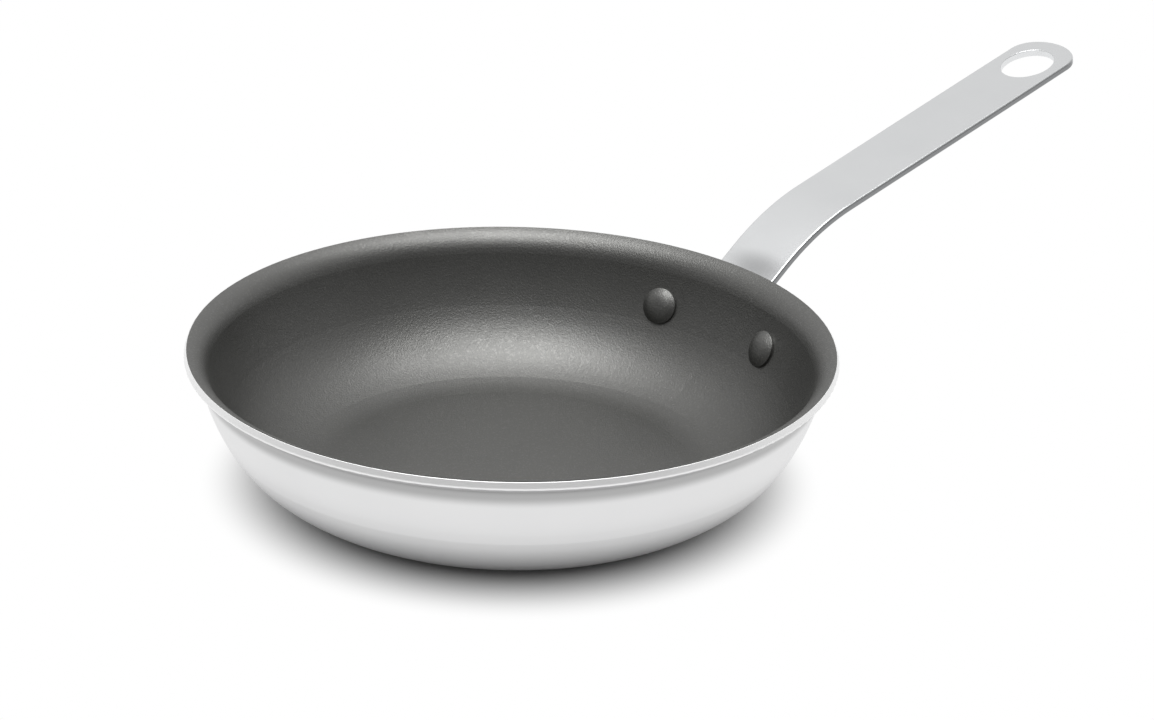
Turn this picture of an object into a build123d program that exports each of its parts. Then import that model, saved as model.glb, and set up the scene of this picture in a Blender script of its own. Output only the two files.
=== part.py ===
from build123d import *
from math import asin, cos, degrees, radians, sin
import os

os.makedirs("parts", exist_ok=True)

# Omelette pan: a spun aluminium bowl with a non-stick lining and a riveted strap handle.
# Lengths are in millimetres and slopes and bearings in degrees.
# The pan stands on Z = 0 about the Z axis, and its handle points along +X.

# Bowl, measured on the inner face of the aluminium
# A slope is how steeply the face climbs outwards: 0 is the floor, 90 a plumb wall.
rim_radius = 127.0
sheet_thickness = 3.2
lip_slope = 18.0
wall_slope = 77.0
corner_slope = 62.5
heel_slope = 19.0
lip_radius = 12.2
wall_radius = 88.5
corner_radius = 46.3
heel_radius = 36.0
rim_rounding = 0.3
rim_under_rounding = 1.1

# Non-stick lining, sprayed on after the handle is riveted
lining_thickness = 0.3

# Rivets, square to the wall, one on each side of the handle's middle
rivet_slope = 67.5
rivet_bearing = 15.35
rivet_shank_radius = 3.0
rivet_hole_clearance = 0.1
rivet_head_radius = 7.35
rivet_head_height = 3.5
rivet_edge_height = 1.0
rivet_tail_radius = 5.2
rivet_tail_height = 2.6
rivet_rounding = 0.4
rivet_crown_radius = 1.2
rivet_skirt = 0.9

# Handle, a plated steel strap with a flange that follows the outside of the wall
neck_width = 31.0
grip_width = 32.3
handle_thickness = 3.1
handle_reach = 325.6
handle_rounding = 0.9
lip_clearance = 0.6
neck_slope = 73.0
rise_slope = 36.6
grip_slope = 14.2
rise_length = 9.5
bend_radius = 108.5
handle_end_length = 13.1
flange_ear_radius = 10.5
flange_rounding = 0.8
neck_flare = 5.0
neck_root_sink = 0.5

# Elliptical hanging hole in the end of the handle
hole_length = 26.0
hole_width = 22.0
hole_to_end = 21.3
hole_rounding = 0.3

# How far a cut runs past the material
overrun = 2.0


def reach(radius, steep, shallow):
    """How far an arc runs sideways between two slopes."""
    return radius * (sin(radians(steep)) - sin(radians(shallow)))


def fall(radius, steep, shallow):
    """How far an arc drops between two slopes."""
    return radius * (cos(radians(shallow)) - cos(radians(steep)))


def along(slope):
    """Unit step up a face of this slope, as radius and height."""
    return Vector(cos(radians(slope)), sin(radians(slope)))


def outward(slope):
    """Unit step out of the bowl, square to a face of this slope."""
    return Vector(sin(radians(slope)), -cos(radians(slope)))


# Height of the rim and the place where the lip runs into the wall
lip_drop = fall(lip_radius, wall_slope, lip_slope)
wall_drop = fall(wall_radius, wall_slope, corner_slope)
corner_drop = fall(corner_radius, corner_slope, heel_slope)
heel_drop = fall(heel_radius, heel_slope, 0)
rim_height = sheet_thickness + lip_drop + wall_drop + corner_drop + heel_drop
rim_corner = Vector(rim_radius, rim_height)
wall_top = rim_corner - Vector(reach(lip_radius, wall_slope, lip_slope), lip_drop)


def wall_point(slope):
    """Point of the wall's inner face where it has this slope."""
    return wall_top - Vector(reach(wall_radius, wall_slope, slope), fall(wall_radius, wall_slope, slope))


def draw_wall(depth):
    """Draw the side view of the wall and its corner, this deep below the bowl's inner face."""
    start = wall_top + outward(wall_slope) * depth
    wall = JernArc(start, -along(wall_slope), wall_radius + depth, corner_slope - wall_slope)
    corner = JernArc(wall @ 1, wall % 1, corner_radius + depth, heel_slope - corner_slope)
    return wall, corner


def draw_face(depth, edge_slope=lip_slope):
    """Draw the whole half section of the face at this depth, and return its two ends."""
    edge = rim_corner - Vector(reach(lip_radius, edge_slope, lip_slope), fall(lip_radius, edge_slope, lip_slope))
    start = edge + outward(edge_slope) * depth
    lip = JernArc(start, -along(edge_slope), lip_radius - depth, wall_slope - edge_slope)
    wall, corner = draw_wall(depth)
    heel = JernArc(corner @ 1, corner % 1, heel_radius + depth, -heel_slope)
    floor = Line(heel @ 1, (0, (heel @ 1).Y))
    return lip @ 0, floor @ 1


def rivet_seat(bearing):
    """Plane on the wall's inner face under a rivet's head, facing into the bowl."""
    seat = wall_point(rivet_slope)
    around = radians(bearing)
    facing = -outward(rivet_slope)
    return Plane(
        origin=(seat.X * cos(around), seat.X * sin(around), seat.Y),
        x_dir=(-sin(around), cos(around), 0),
        z_dir=(facing.X * cos(around), facing.X * sin(around), facing.Y),
    )


def draw_dome(radius, height, edge_height):
    """Draw the half section of a domed head with a flat crown, a rounded edge and a skirt below its seat."""
    inner_radius = radius - rivet_rounding - rivet_crown_radius
    inner_height = height - edge_height - rivet_rounding
    turn_radius = (inner_radius**2 + inner_height**2) / (2 * inner_height)
    turn_angle = degrees(asin(inner_radius / turn_radius))
    crown = Line((0, height), (rivet_crown_radius, height))
    dome = JernArc(crown @ 1, (1, 0), turn_radius + rivet_rounding, -turn_angle)
    shoulder = JernArc(dome @ 1, dome % 1, rivet_rounding, turn_angle - 90)
    Polyline(shoulder @ 1, (radius, -rivet_skirt), (0, -rivet_skirt), (0, height))


def axial_section(seat):
    """Plane through a seat's axis, with local y along that axis."""
    return Plane(origin=seat.origin, x_dir=seat.x_dir, z_dir=-seat.y_dir)


rivet_seats = {"rivet_left": rivet_seat(rivet_bearing), "rivet_right": rivet_seat(-rivet_bearing)}
joint_thickness = sheet_thickness + handle_thickness
rivet_hole_radius = rivet_shank_radius + rivet_hole_clearance
rivets = {}

# Pan body: one sheet from the cut rim to the middle of the base
with BuildPart() as pan_body:
    with BuildSketch(Plane.XZ) as body_section:
        with BuildLine():
            edge_top, middle_top = draw_face(0)
            edge_under, middle_under = draw_face(sheet_thickness)
            Line(edge_top, edge_under)
            Line(middle_top, middle_under)
        make_face()
        fillet(body_section.vertices().sort_by(Axis.X)[-1], rim_under_rounding)
        fillet(body_section.vertices().sort_by(Axis.Y)[-1], rim_rounding)
    revolve(axis=Axis.Z)
    for seat in rivet_seats.values():
        with BuildSketch(seat.offset(overrun)):
            Circle(rivet_hole_radius)
        extrude(amount=-(joint_thickness + 2 * overrun), mode=Mode.SUBTRACT)

pan_body.part.label = "pan_body"
export_step(pan_body.part, "parts/pan_body.step")

# Handle: where the strap leaves the wall, and the arc that takes it round the lip
neck_start = wall_point(neck_slope) + outward(neck_slope) * sheet_thickness
lip_corner = rim_corner + outward(lip_slope) * sheet_thickness
to_lip = lip_corner - neck_start
neck_radius = (to_lip.dot(to_lip) - lip_clearance**2) / (2 * (lip_clearance + to_lip.dot(outward(neck_slope))))
neck_centre = neck_start + outward(neck_slope) * neck_radius
rise_start = neck_centre - outward(rise_slope) * neck_radius
rise_end = rise_start + along(rise_slope) * rise_length
grip_start = rise_end + outward(rise_slope) * bend_radius - outward(grip_slope) * bend_radius
grip_length = (handle_reach - grip_start.X) / cos(radians(grip_slope)) - handle_end_length
grip_end = grip_start + along(grip_slope) * grip_length
end_plane = Plane(
    origin=(grip_end.X, 0, grip_end.Y),
    x_dir=(cos(radians(grip_slope)), 0, sin(radians(grip_slope))),
    z_dir=(-sin(radians(grip_slope)), 0, cos(radians(grip_slope))),
)


def draw_strap(depth):
    """Draw the side view of the face that lies this deep below the strap's top."""
    start = rise_start + outward(rise_slope) * depth
    rise = Line(start, start + along(rise_slope) * rise_length)
    bend = JernArc(rise @ 1, rise % 1, bend_radius - depth, grip_slope - rise_slope)
    grip = Line(bend @ 1, bend @ 1 + along(grip_slope) * grip_length)
    return rise @ 0, grip @ 1


def draw_across(half, middle, sagitta):
    """Draw one face of the strap across its width, curved only where it has a sagitta."""
    if sagitta == 0:
        return Line((-half, middle), (half, middle))
    return ThreePointArc((-half, middle + sagitta), (0, middle), (half, middle + sagitta))


def neck_section(slope, start, sink, widening, wrap):
    """Cross section of the strap at one place of the neck, bent across by a share of the wall's curve."""
    half = neck_width / 2 + widening
    sagitta = wrap * half**2 * sin(radians(slope)) / (2 * start.X)
    across = (0, 1, 0)
    ahead = (cos(radians(slope)), 0, sin(radians(slope)))
    with BuildSketch(Plane(origin=(start.X, 0, start.Y), x_dir=across, z_dir=ahead)) as section:
        with BuildLine():
            top = draw_across(half, -sink, sagitta)
            under = draw_across(half, sink - handle_thickness, sagitta)
            Line(top @ 0, under @ 0)
            Line(top @ 1, under @ 1)
        make_face()
        fillet(section.vertices(), handle_rounding - sink)
    return section.sketch


def neck_point(slope):
    """Point of the strap's top on the arc that takes it off the wall and round the lip."""
    return neck_centre - outward(slope) * neck_radius


def goes_through(edge):
    """Whether an edge of the strap runs from its top to its underside."""
    return abs(edge.length - handle_thickness) < handle_rounding


# Flange: a piece of the layer outside the wall, with an ear round each rivet
ear = rivet_seats["rivet_left"].offset(-sheet_thickness - handle_thickness / 2).origin


def stands_off_wall(edge):
    """Whether an edge of the flange lies on its outer side."""
    return edge.distance_to(pan_body.part) > flange_rounding


with BuildPart() as flange:
    with BuildSketch(Plane.XZ):
        with BuildLine():
            inner_wall, inner_corner = draw_wall(sheet_thickness)
            outer_wall, outer_corner = draw_wall(joint_thickness)
            Line(inner_wall @ 0, outer_wall @ 0)
            Line(inner_corner @ 1, outer_corner @ 1)
        make_face()
    revolve(axis=Axis.Z)
    with BuildSketch(Plane.YZ):
        with Locations((0, ear.Z)):
            SlotCenterToCenter(2 * ear.Y, 2 * flange_ear_radius)
    extrude(amount=rim_radius, mode=Mode.INTERSECT)
    cut_faces = flange.faces().filter_by(GeomType.PLANE) + flange.faces().filter_by(GeomType.CYLINDER)
    fillet(cut_faces.edges().filter_by(stands_off_wall), flange_rounding)

# Neck: from inside the flange, off the wall and round the lip, flattening as it goes
neck_shares = (0, 0.35, 0.7, 1)
flare_shares = (0.6, 0.2, 0, 0)
wrap_shares = (1, 0.6, 0.2, 0)
neck_root = wall_point(rivet_slope) + outward(rivet_slope) * sheet_thickness
neck_sections = [neck_section(rivet_slope, neck_root, neck_root_sink, neck_flare, 1)]
for neck_share, flare_share, wrap_share in zip(neck_shares, flare_shares, wrap_shares):
    slope = neck_slope + neck_share * (rise_slope - neck_slope)
    neck_sections.append(neck_section(slope, neck_point(slope), 0, flare_share * neck_flare, wrap_share))
with BuildPart() as neck:
    loft(neck_sections)

# Strap: straight rise, long bend and straight grip, a little wider at its elliptical end
widening_start = rise_end.X + neck_width / 2
widening_end = grip_end.X - grip_width / 2
with BuildPart() as handle:
    with BuildSketch(Plane.XZ):
        with BuildLine():
            top_low, top_high = draw_strap(0)
            under_low, under_high = draw_strap(handle_thickness)
            Line(top_low, under_low)
            Line(top_high, under_high)
        make_face()
    extrude(amount=grip_width / 2, both=True)
    with BuildSketch(Plane.XY):
        with BuildLine():
            near_corner = Vector(rise_start.X - overrun, neck_width / 2)
            far_corner = Vector(grip_end.X + handle_end_length, grip_width / 2)
            narrow = Line(near_corner, (widening_start, neck_width / 2))
            side = Spline(narrow @ 1, (widening_end, grip_width / 2), tangents=[(1, 0), (1, 0)])
            Polyline(side @ 1, far_corner, (far_corner.X, 0), (near_corner.X, 0), near_corner)
        make_face()
        mirror(about=Plane.XZ)
    extrude(amount=grip_end.Y + overrun, mode=Mode.INTERSECT)
    with BuildSketch(end_plane):
        Ellipse(handle_end_length, grip_width / 2)
    extrude(amount=-handle_thickness)
    lengthwise = handle.edges().filter_by(Axis.Y, reverse=True)
    fillet(lengthwise.filter_by(goes_through, reverse=True), handle_rounding)
    with BuildSketch(end_plane):
        with Locations((handle_end_length - hole_to_end, 0)):
            Ellipse(hole_length / 2, hole_width / 2)
    extrude(amount=-handle_thickness, mode=Mode.SUBTRACT)
    fillet(handle.edges(Select.LAST).filter_by(goes_through, reverse=True), hole_rounding)
    add(neck.part)
    add(flange.part)
    for seat in rivet_seats.values():
        with BuildSketch(seat.offset(overrun)):
            Circle(rivet_hole_radius)
        extrude(amount=-(joint_thickness + 2 * overrun), mode=Mode.SUBTRACT)
    add(pan_body.part, mode=Mode.SUBTRACT)

handle.part.label = "handle"
export_step(handle.part, "parts/handle.step")

# Rivets: a domed head inside the bowl, a shank and a smaller dome upset on the flange
for name, seat in rivet_seats.items():
    tail_face = seat.offset(-joint_thickness)
    tail_seat = Plane(origin=tail_face.origin, x_dir=seat.x_dir, z_dir=-seat.z_dir)
    with BuildPart() as rivet:
        for dome_seat, radius, height, edge_height in (
            (seat, rivet_head_radius, rivet_head_height, rivet_edge_height),
            (tail_seat, rivet_tail_radius, rivet_tail_height, 0),
        ):
            with BuildSketch(axial_section(dome_seat)):
                with BuildLine():
                    draw_dome(radius, height, edge_height)
                make_face()
            revolve(axis=Axis(dome_seat.origin, dome_seat.z_dir))
        add(pan_body.part, mode=Mode.SUBTRACT)
        add(handle.part, mode=Mode.SUBTRACT)
        with BuildSketch(seat):
            Circle(rivet_shank_radius)
        extrude(amount=-joint_thickness)
    rivet.part.label = name
    export_step(rivet.part, f"parts/{name}.step")
    rivets[name] = rivet.part

# Non-stick lining: a skin on the bowl that stops short of the rim's rounding and covers the heads
lining_edge_slope = lip_slope + degrees(rim_rounding / lip_radius)
coated_radius = rivet_head_radius + lining_thickness
coated_height = rivet_head_height + lining_thickness
coated_edge_height = rivet_edge_height + lining_thickness
with BuildPart() as nonstick_lining:
    with BuildSketch(Plane.XZ):
        with BuildLine():
            edge_top, middle_top = draw_face(-lining_thickness, lining_edge_slope)
            edge_under, middle_under = draw_face(0, lining_edge_slope)
            Line(edge_top, edge_under)
            Line(middle_top, middle_under)
        make_face()
    revolve(axis=Axis.Z)
    for name, seat in rivet_seats.items():
        with BuildSketch(axial_section(seat)):
            with BuildLine():
                draw_dome(coated_radius, coated_height, coated_edge_height)
            make_face()
        revolve(axis=Axis(seat.origin, seat.z_dir))
        add(rivets[name], mode=Mode.SUBTRACT)
    add(pan_body.part, mode=Mode.SUBTRACT)

nonstick_lining.part.label = "nonstick_lining"
export_step(nonstick_lining.part, "parts/nonstick_lining.step")
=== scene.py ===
from math import cos, radians, sin

import bpy
from mathutils import Matrix, Vector


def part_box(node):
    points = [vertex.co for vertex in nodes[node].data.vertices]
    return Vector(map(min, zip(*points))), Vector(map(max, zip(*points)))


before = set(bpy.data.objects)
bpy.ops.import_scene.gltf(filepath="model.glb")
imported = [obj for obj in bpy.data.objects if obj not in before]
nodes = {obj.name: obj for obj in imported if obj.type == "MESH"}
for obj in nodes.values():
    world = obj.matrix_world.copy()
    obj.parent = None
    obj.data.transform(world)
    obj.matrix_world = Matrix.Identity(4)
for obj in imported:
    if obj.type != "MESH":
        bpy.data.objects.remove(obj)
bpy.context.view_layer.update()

rim_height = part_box("pan_body")[1].z
rim_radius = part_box("pan_body")[1].x

# Camera, as the photograph was taken
picture_width = 1154
focal_pixels = 3000
sensor_width = 36
camera_bearing = -41.6
camera_height = 22.92
camera_distance = 1.1735
turned_right = 1.343
tilted_down = 0.315
rolled = 1.536

# Studio, with levels at which white paper on the floor renders white
paper_white = 1.0
sky_level = 0.17
backdrop_glow = 0.78
camera_side_glow = 0.2
glow_turn = (-0.7, 0.5)
softbox_height = 1.25
softbox_width = 1.0
softbox_depth = 0.9
softbox_power = 15.0
softbox_offset = 0.12
floor_radius = 6.0
floor_sides = 96
# Grey paper near the pan gives way to white between these distances from its axis; this fade shapes the
# shadow round the base, partly as painted shade
floor_albedo = 0.5
floor_fade = (0.084, 0.124)
mirrored_fade = (0.085, 0.132)

# Noise that is drawn from 0 to 1 mostly lies between these levels
noise_span = (0.3, 0.7)
cloud_span = (0.2, 0.8)
cloud_detail = 3.0

# Bare aluminium: turned lines, clouds and a fine grain
line_gap = 0.0007
line_run = 0.06
line_detail = 2.0
line_depth = 0.000004
sheet_cloud = 0.035
sheet_colours = ((0.75, 0.75, 0.755), (0.80, 0.80, 0.80))
sheet_roughness = (0.28, 0.34)
sheet_cloud_roughness = 0.04
sheet_grain = 0.0006
sheet_grain_depth = 0.000003

# Cut edge of the rim, as a cone that faces outwards and up by this slope
edge_slope = 18
edge_sheet = 0.0032
edge_inset = 0.0003
edge_softness = 0.0004
edge_colour = (0.94, 0.94, 0.94)
edge_roughness = 0.22
edge_distance = (
    rim_radius * cos(radians(edge_slope))
    + (rim_height - edge_sheet) * sin(radians(edge_slope))
    - edge_inset
)

# Painted shade: a darker band under the lip, which fades in and out between these depths below the rim's top
band_start = (0.0042, 0.0056)
band_end = (0.0085, 0.0135)
under_lip_shade_colour = (0.44, 0.44, 0.44)

# Non-stick coating: flakes, clouds, orange peel and slow ripples
flake_size = 0.0007
flake_span = (0.7, 1.0)
flake_smoothness = 0.08
coating_colours = ((0.0095, 0.0095, 0.0088), (0.032, 0.032, 0.0298))
coating_tint = (1.0, 1.0, 0.97, 1)
coating_index = 2.3
coating_cloud = 0.03
coating_roughness = (0.42, 0.47)
peel_size = 0.0008
peel_detail = 3.0
peel_roughness = 0.7
peel_depth = 0.00016
ripple_size = 0.004
ripple_depth = 0.00002

# Plated steel: a lengthwise grain and clouds
grain_size = 0.0006
grain_stretch = (0.02, 1, 1)
plate_cloud = 0.025
plate_colours = ((0.76, 0.77, 0.78), (0.80, 0.81, 0.815))
plate_roughness = (0.27, 0.29)
plate_cloud_roughness = 0.04

# Sides of the handle, past this distance from its middle, rounded and then sheared as they turn outwards;
# their darker colours are painted shade
side_distance = 0.0145
side_softness = 0.0006
rounded_turn = (0.15, 0.6)
edge_shade_colour = (0.55, 0.56, 0.565)
rounded_roughness = 0.08
sheared_turn = (0.8, 0.97)
side_shade_colour = (0.27, 0.275, 0.28)

# Painted reflection: a darker patch on the handle's neck, just above the rim, where the neck would mirror
# the dark bowl
patch_middle = (0.1312, -0.004, 0.063)
patch_half = (0.0095, 0.023, 0.02)
patch_core = 0.2
neck_reflection_colour = (0.46, 0.465, 0.47)

# Aluminium of the rivets
dent_size = 0.0015
dent_depth = 0.00004
rivet_colours = ((0.74, 0.74, 0.75), (0.86, 0.86, 0.86))
rivet_roughness = (0.3, 0.42)


def make_node(tree, kind, inputs=None, **settings):
    """Add a node, where an input that is a socket is linked and any other value is set."""
    node = tree.nodes.new(kind)
    for name, value in settings.items():
        setattr(node, name, value)
    for name, value in (inputs or {}).items():
        if isinstance(value, bpy.types.NodeSocket):
            tree.links.new(value, node.inputs[name])
        else:
            node.inputs[name].default_value = value
    return node


def math(tree, operation, first, second=0.0):
    """Socket of a sum, product or other operation on two values."""
    return make_node(tree, "ShaderNodeMath", {0: first, 1: second}, operation=operation).outputs[0]


def vector_math(tree, operation, first, second=(0, 0, 0)):
    """Outputs of an operation on one or two vectors."""
    return make_node(tree, "ShaderNodeVectorMath", {0: first, 1: second}, operation=operation).outputs


def split(tree, vector):
    """Outputs with the three coordinates of a vector."""
    return make_node(tree, "ShaderNodeSeparateXYZ", {"Vector": vector}).outputs


def spread(tree, value, low, high, to_low, to_high):
    """Socket of a value moved smoothly from one range to another, and held at its ends."""
    inputs = {"Value": value, "From Min": low, "From Max": high, "To Min": to_low, "To Max": to_high}
    return make_node(tree, "ShaderNodeMapRange", inputs, interpolation_type="SMOOTHSTEP").outputs["Result"]


def noise(tree, where, size, detail=2.0, roughness=0.5):
    """Socket of noise whose features have this size."""
    inputs = {"Vector": where, "Scale": 1 / size, "Detail": detail, "Roughness": roughness}
    return make_node(tree, "ShaderNodeTexNoise", inputs).outputs["Fac"]


def blend(tree, factor, under, over):
    """Socket of a colour that gives way to another as the factor goes to 1, each a socket or a colour."""
    node = make_node(tree, "ShaderNodeMix", {"Factor": factor}, data_type="RGBA")
    for end, colour in (("A", under), ("B", over)):
        socket = next(s for s in node.inputs if s.name == end and s.type == "RGBA")
        if isinstance(colour, bpy.types.NodeSocket):
            tree.links.new(colour, socket)
        else:
            socket.default_value = (*colour, 1)
    return next(s for s in node.outputs if s.type == "RGBA")


def new_material(name):
    """Make a node material with a principled shader, and return it with its tree and shader."""
    material = bpy.data.materials.new(name)
    material.use_nodes = True
    tree = material.node_tree
    return material, tree, tree.nodes["Principled BSDF"]


def place(tree):
    """Socket of the point in the pan's frame."""
    return make_node(tree, "ShaderNodeTexCoord").outputs["Object"]


def add_bump(tree, shader, layers):
    """Chain bumps onto a shader, each a height socket with its depth in metres."""
    normal = None
    for height, depth in layers:
        inputs = {"Height": height, "Strength": 1.0, "Distance": depth}
        if normal is not None:
            inputs["Normal"] = normal
        normal = make_node(tree, "ShaderNodeBump", inputs).outputs["Normal"]
    tree.links.new(normal, shader.inputs["Normal"])


def from_axis(tree, where):
    """Socket of the level vector from the pan's axis to a point, and socket of its length."""
    flat = vector_math(tree, "MULTIPLY", where, (1, 1, 0))[0]
    return flat, vector_math(tree, "LENGTH", flat)["Value"]


def turned_lines(tree, where, across, run):
    """Noise drawn out round the pan's axis, as a lathe leaves it: lines this far apart and this long."""
    flat, radius = from_axis(tree, where)
    bearing = split(tree, vector_math(tree, "NORMALIZE", flat)[0])
    stretch = rim_radius * across / run
    meridian = make_node(tree, "ShaderNodeCombineXYZ", {
        "X": radius,
        "Y": split(tree, where)["Z"],
        "Z": math(tree, "MULTIPLY", bearing["X"], stretch),
    })
    inputs = {
        "Vector": meridian.outputs[0],
        "W": math(tree, "MULTIPLY", bearing["Y"], stretch / across),
        "Scale": 1 / across,
        "Detail": line_detail,
    }
    return make_node(tree, "ShaderNodeTexNoise", inputs, noise_dimensions="4D").outputs["Fac"]


def cut_edge(tree, where):
    """Socket that turns from 0 to 1 past the cone on which the rim was cut."""
    outwards = math(tree, "MULTIPLY", from_axis(tree, where)[1], cos(radians(edge_slope)))
    upwards = math(tree, "MULTIPLY", split(tree, where)["Z"], sin(radians(edge_slope)))
    distance = math(tree, "ADD", outwards, upwards)
    return spread(tree, distance, edge_distance - edge_softness, edge_distance + edge_softness, 0.0, 1.0)


def under_lip_shade(tree, where):
    """Socket that is 1 in the band of painted shade under the lip, and fades out above and below it."""
    depth = math(tree, "SUBTRACT", rim_height, split(tree, where)["Z"])
    started = spread(tree, depth, *band_start, 0.0, 1.0)
    return math(tree, "MULTIPLY", started, spread(tree, depth, *band_end, 1.0, 0.0))


def aluminium():
    """Bare spun aluminium: satin turned lines, a band of painted shade under the lip and a bright cut edge.
    """
    material, tree, shader = new_material("bare_aluminium")
    where = place(tree)
    lines = turned_lines(tree, where, line_gap, line_run)
    clouds = noise(tree, where, sheet_cloud, cloud_detail)
    cut = cut_edge(tree, where)
    sheet = blend(tree, clouds, *sheet_colours)
    # Painted shade in the band under the lip
    lip_shaded = blend(tree, under_lip_shade(tree, where), sheet, under_lip_shade_colour)
    tree.links.new(blend(tree, cut, lip_shaded, edge_colour), shader.inputs["Base Color"])
    shader.inputs["Metallic"].default_value = 1.0
    lined = spread(tree, lines, *noise_span, *sheet_roughness)
    satin = math(tree, "ADD", lined, math(tree, "MULTIPLY", clouds, sheet_cloud_roughness))
    rough = math(tree, "ADD", satin, math(tree, "MULTIPLY", cut, edge_roughness))
    tree.links.new(rough, shader.inputs["Roughness"])
    add_bump(tree, shader, [(lines, line_depth), (noise(tree, where, sheet_grain), sheet_grain_depth)])
    return material


def coating():
    """Dark non-stick coating: satin, with an orange-peel surface and fine bright flakes."""
    material, tree, shader = new_material("nonstick_coating")
    where = place(tree)
    flakes = make_node(tree, "ShaderNodeTexVoronoi", {"Vector": where, "Scale": 1 / flake_size})
    glint = make_node(tree, "ShaderNodeSeparateColor", {"Color": flakes.outputs["Color"]}).outputs[0]
    bright = spread(tree, glint, *flake_span, 0.0, 1.0)
    tree.links.new(blend(tree, bright, *coating_colours), shader.inputs["Base Color"])
    satin = spread(tree, noise(tree, where, coating_cloud, cloud_detail), *cloud_span, *coating_roughness)
    rough = math(tree, "SUBTRACT", satin, math(tree, "MULTIPLY", bright, flake_smoothness))
    tree.links.new(rough, shader.inputs["Roughness"])
    shader.inputs["IOR"].default_value = coating_index
    shader.inputs["Specular Tint"].default_value = coating_tint
    peel = noise(tree, where, peel_size, peel_detail, peel_roughness)
    add_bump(tree, shader, [(peel, peel_depth), (noise(tree, where, ripple_size), ripple_depth)])
    return material


def outer_sides(tree, where, low, high):
    """Socket that turns to 1 on the handle's outer sides, as they come to face across its width."""
    normal = make_node(tree, "ShaderNodeTexCoord").outputs["Normal"]
    sideways = spread(tree, math(tree, "ABSOLUTE", split(tree, normal)["Y"]), low, high, 0.0, 1.0)
    across = math(tree, "ABSOLUTE", split(tree, where)["Y"])
    outside = spread(tree, across, side_distance - side_softness, side_distance + side_softness, 0.0, 1.0)
    return math(tree, "MULTIPLY", sideways, outside)


def painted_neck_reflection(tree, where):
    """Socket that is 1 in the middle of the painted dark reflection on the neck, and fades out round it."""
    offset = vector_math(tree, "SUBTRACT", where, patch_middle)[0]
    scaled = vector_math(tree, "DIVIDE", offset, patch_half)[0]
    return spread(tree, vector_math(tree, "LENGTH", scaled)["Value"], patch_core, 1.0, 1.0, 0.0)


def plated_steel():
    """Bright plated steel: a faint lengthwise grain, painted shade on the rounded edges and sheared sides,
    and a painted dark reflection on the neck.
    """
    material, tree, shader = new_material("plated_steel")
    where = place(tree)
    grain = noise(tree, vector_math(tree, "MULTIPLY", where, grain_stretch)[0], grain_size)
    clouds = noise(tree, where, plate_cloud, cloud_detail)
    plate = blend(tree, clouds, *plate_colours)
    # Painted reflection of the dark bowl on the neck
    neck_reflected = blend(tree, painted_neck_reflection(tree, where), plate, neck_reflection_colour)
    rounded = outer_sides(tree, where, *rounded_turn)
    # Painted shade on the rounded edges and the sheared sides
    edge_shaded = blend(tree, rounded, neck_reflected, edge_shade_colour)
    sheared = outer_sides(tree, where, *sheared_turn)
    tree.links.new(blend(tree, sheared, edge_shaded, side_shade_colour), shader.inputs["Base Color"])
    shader.inputs["Metallic"].default_value = 1.0
    grained = spread(tree, grain, *noise_span, *plate_roughness)
    smooth = math(tree, "ADD", grained, math(tree, "MULTIPLY", clouds, plate_cloud_roughness))
    rough = math(tree, "ADD", smooth, math(tree, "MULTIPLY", rounded, rounded_roughness))
    tree.links.new(rough, shader.inputs["Roughness"])
    return material


def rivet_aluminium():
    """Plain aluminium of the rivets, with the marks of the tool that set them."""
    material, tree, shader = new_material("rivet_aluminium")
    dents = noise(tree, place(tree), dent_size, cloud_detail)
    tree.links.new(blend(tree, dents, *rivet_colours), shader.inputs["Base Color"])
    shader.inputs["Metallic"].default_value = 1.0
    tree.links.new(spread(tree, dents, *noise_span, *rivet_roughness), shader.inputs["Roughness"])
    add_bump(tree, shader, [(dents, dent_depth)])
    return material


def finish_nodes():
    """Give every piece its material."""
    rivet = rivet_aluminium()
    finishes = {
        "pan_body": aluminium(),
        "nonstick_lining": coating(),
        "handle": plated_steel(),
        "rivet_left": rivet,
        "rivet_right": rivet,
    }
    for name, material in finishes.items():
        for slot in nodes[name].material_slots:
            slot.material = material


def lay_floor():
    """Lay a round grey floor that gives way to white away from the pan, to the camera and in reflections, so
    that the shadow round its base is partly real and partly painted shade.
    """
    bpy.ops.mesh.primitive_circle_add(vertices=floor_sides, radius=floor_radius, fill_type="NGON")
    floor = bpy.context.object
    floor.name = "floor"
    material, tree, shader = new_material("floor_paper")
    tree.nodes.remove(shader)
    output = tree.nodes["Material Output"]
    grey = (floor_albedo, floor_albedo, floor_albedo, 1)
    paper = make_node(tree, "ShaderNodeBsdfDiffuse", {"Color": grey}).outputs[0]
    glow = make_node(tree, "ShaderNodeEmission", {"Strength": paper_white}).outputs[0]
    distance = vector_math(tree, "LENGTH", place(tree))["Value"]
    path = make_node(tree, "ShaderNodeLightPath").outputs
    far = spread(tree, distance, *floor_fade, 0.0, 1.0)
    mirrored_far = spread(tree, distance, *mirrored_fade, 0.0, 1.0)
    seen = math(tree, "MULTIPLY", far, path["Is Camera Ray"])
    mirrored = math(tree, "MULTIPLY", mirrored_far, path["Is Glossy Ray"])
    fade = math(tree, "MAXIMUM", seen, mirrored)
    mix = make_node(tree, "ShaderNodeMixShader", {0: fade, 1: paper, 2: glow}).outputs[0]
    tree.links.new(mix, output.inputs["Surface"])
    floor.data.materials.append(material)


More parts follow.
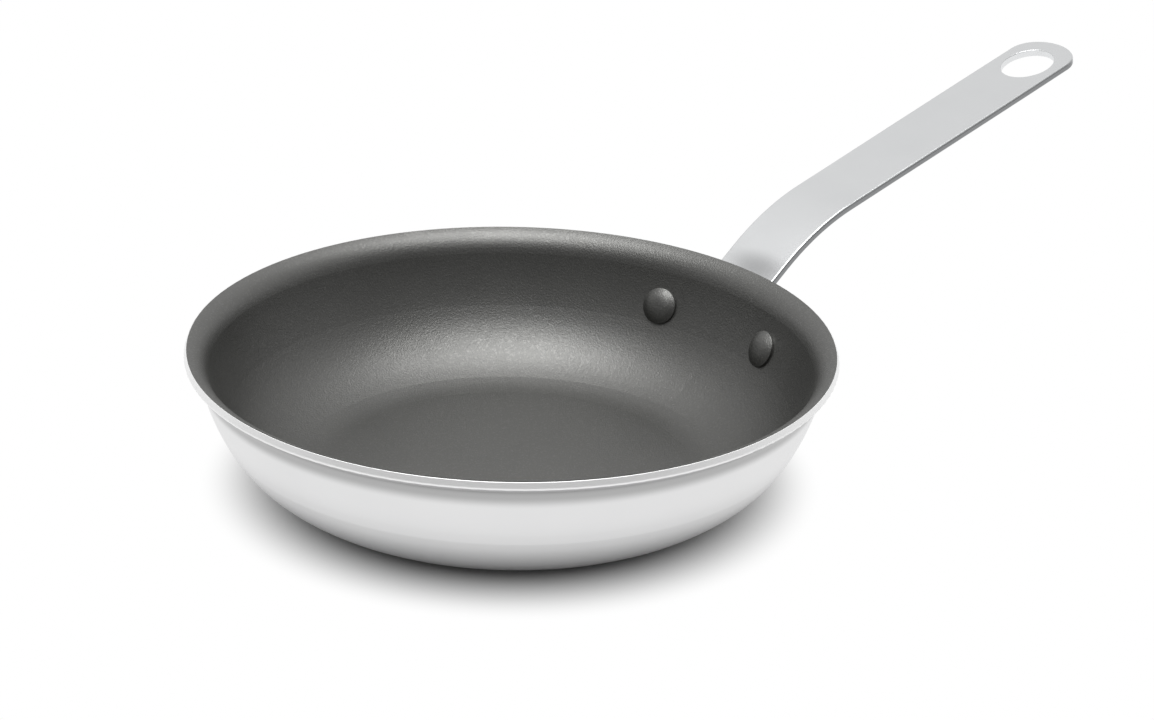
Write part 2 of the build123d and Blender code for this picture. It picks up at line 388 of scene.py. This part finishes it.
def light_sky():
    """Light the world: white to the camera, and in reflections bright behind the pan and dimmer in front."""
    world = bpy.data.worlds.new("studio")
    bpy.context.scene.world = world
    world.use_nodes = True
    tree = world.node_tree
    path = make_node(tree, "ShaderNodeLightPath").outputs
    direction = make_node(tree, "ShaderNodeTexCoord").outputs["Generated"]
    bearing = radians(camera_bearing)
    backwards = (-sin(bearing), cos(bearing), 0)
    facing = vector_math(tree, "DOT_PRODUCT", direction, backwards)["Value"]
    reflected = spread(tree, facing, *glow_turn, camera_side_glow, backdrop_glow)
    glossy = math(tree, "MULTIPLY", path["Is Glossy Ray"], math(tree, "SUBTRACT", reflected, sky_level))
    camera = math(tree, "MULTIPLY", path["Is Camera Ray"], paper_white - sky_level)
    level = math(tree, "ADD", math(tree, "ADD", glossy, camera), sky_level)
    tree.links.new(level, tree.nodes["Background"].inputs["Strength"])
    tree.nodes["Background"].inputs["Color"].default_value = (1, 1, 1, 1)


def hang_softbox():
    """Hang one large softbox over the pan."""
    lamp = bpy.data.lights.new("softbox", "AREA")
    lamp.shape = "RECTANGLE"
    lamp.size = softbox_width
    lamp.size_y = softbox_depth
    lamp.energy = softbox_power
    softbox = bpy.data.objects.new("softbox", lamp)
    bpy.context.scene.collection.objects.link(softbox)
    bearing = radians(camera_bearing)
    softbox.location = (softbox_offset * sin(bearing), -softbox_offset * cos(bearing), softbox_height)
    softbox.rotation_euler = (0, 0, bearing)


def place_camera():
    """Stand the camera where the photograph was taken from."""
    data = bpy.data.cameras.new("camera")
    data.sensor_width = sensor_width
    data.lens = focal_pixels / picture_width * sensor_width
    camera = bpy.data.objects.new("camera", data)
    bpy.context.scene.collection.objects.link(camera)
    bpy.context.scene.camera = camera
    bearing = radians(camera_bearing)
    height = radians(camera_height)
    away = Vector((sin(bearing) * cos(height), -cos(bearing) * cos(height), sin(height)))
    turn = Matrix.Rotation(bearing - radians(turned_right), 4, "Z")
    tilt = Matrix.Rotation(radians(90 - camera_height - tilted_down), 4, "X")
    roll = Matrix.Rotation(radians(rolled), 4, "Z")
    where = Vector((0, 0, rim_height)) + away * camera_distance
    camera.matrix_world = Matrix.Translation(where) @ turn @ tilt @ roll


finish_nodes()
lay_floor()
light_sky()
hang_softbox()
place_camera()
bpy.context.scene.view_settings.view_transform = "Standard"
